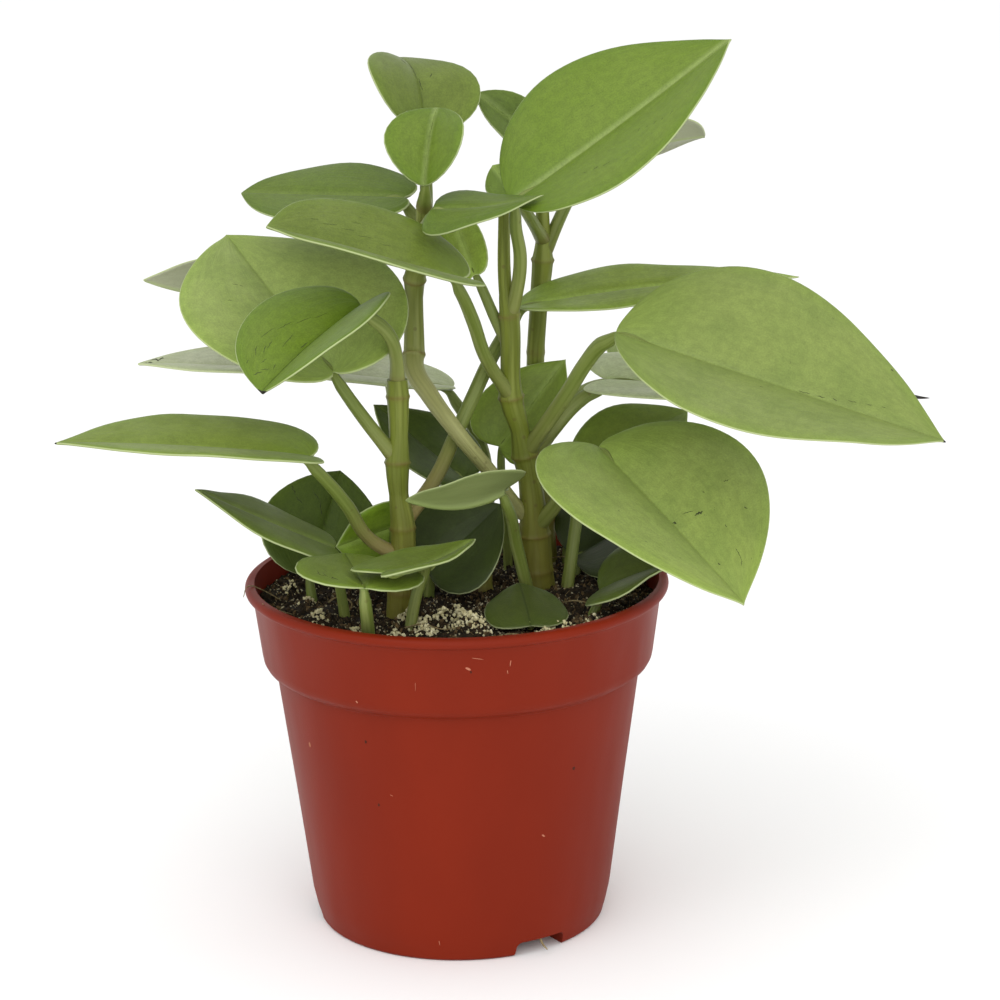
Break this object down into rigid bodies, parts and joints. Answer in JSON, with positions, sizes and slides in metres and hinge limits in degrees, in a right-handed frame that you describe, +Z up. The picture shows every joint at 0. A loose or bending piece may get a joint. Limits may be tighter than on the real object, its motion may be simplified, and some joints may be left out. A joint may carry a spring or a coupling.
{
  "type": "potted peperomia",
  "caption": "House plant with pointed oval leaves on long stalks around several knotty upright stems, standing in soil in a round flared plastic nursery pot with a collared rim.",
  "frame": {"origin": "centre of the pot's flat foot, on the surface that the pot stands on", "axes": "+Z up along the pot's axis; -Y toward the viewer of the picture; +X to the picture's right"},
  "size_m": [0.2414, 0.1681, 0.2515],
  "materials": {
    "pot_plastic": "satin",
    "potting_soil": "matte",
    "stem_olive": "satin",
    "leaf_green": "satin"
  },
  "bodies": {
    "root": {"pot": "pot_plastic", "soil": "potting_soil", "stem_left": "stem_olive", "stem_middle": "stem_olive", "stem_back": "stem_olive", "stem_low": "stem_olive", "branch_left": "stem_olive", "leaf_top_right": "leaf_green", "leaf_right_large": "leaf_green", "leaf_lower_right": "leaf_green", "leaf_left_broad": "leaf_green", "leaf_left_round": "leaf_green", "leaf_left_back": "leaf_green", "leaf_left_flat": "leaf_green", "leaf_lower_left": "leaf_green", "leaf_low_left_small": "leaf_green", "leaf_low_left_dark": "leaf_green", "leaf_low_left_hidden": "leaf_green", "leaf_front_low": "leaf_green", "leaf_front_upper": "leaf_green", "leaf_centre_small": "leaf_green", "leaf_low_centre_dark": "leaf_green", "leaf_centre_dark": "leaf_green", "leaf_centre_back": "leaf_green", "leaf_right_hidden": "leaf_green", "leaf_right_dark": "leaf_green", "leaf_right_long": "leaf_green", "leaf_top_left": "leaf_green", "leaf_top_small": "leaf_green", "leaf_upper_left": "leaf_green", "leaf_left_folded": "leaf_green", "leaf_top_back": "leaf_green", "leaf_top_right_behind": "leaf_green", "leaf_top_inner": "leaf_green", "leaf_top_centre": "leaf_green", "leaf_centre_behind": "leaf_green", "leaf_low_right": "leaf_green", "leaf_front_young": "leaf_green", "leaf_low_right_dark": "leaf_green", "leaf_back_left": "leaf_green", "leaf_back_right": "leaf_green", "leaf_back_low_right": "leaf_green"}
  },
  "joints": []
}
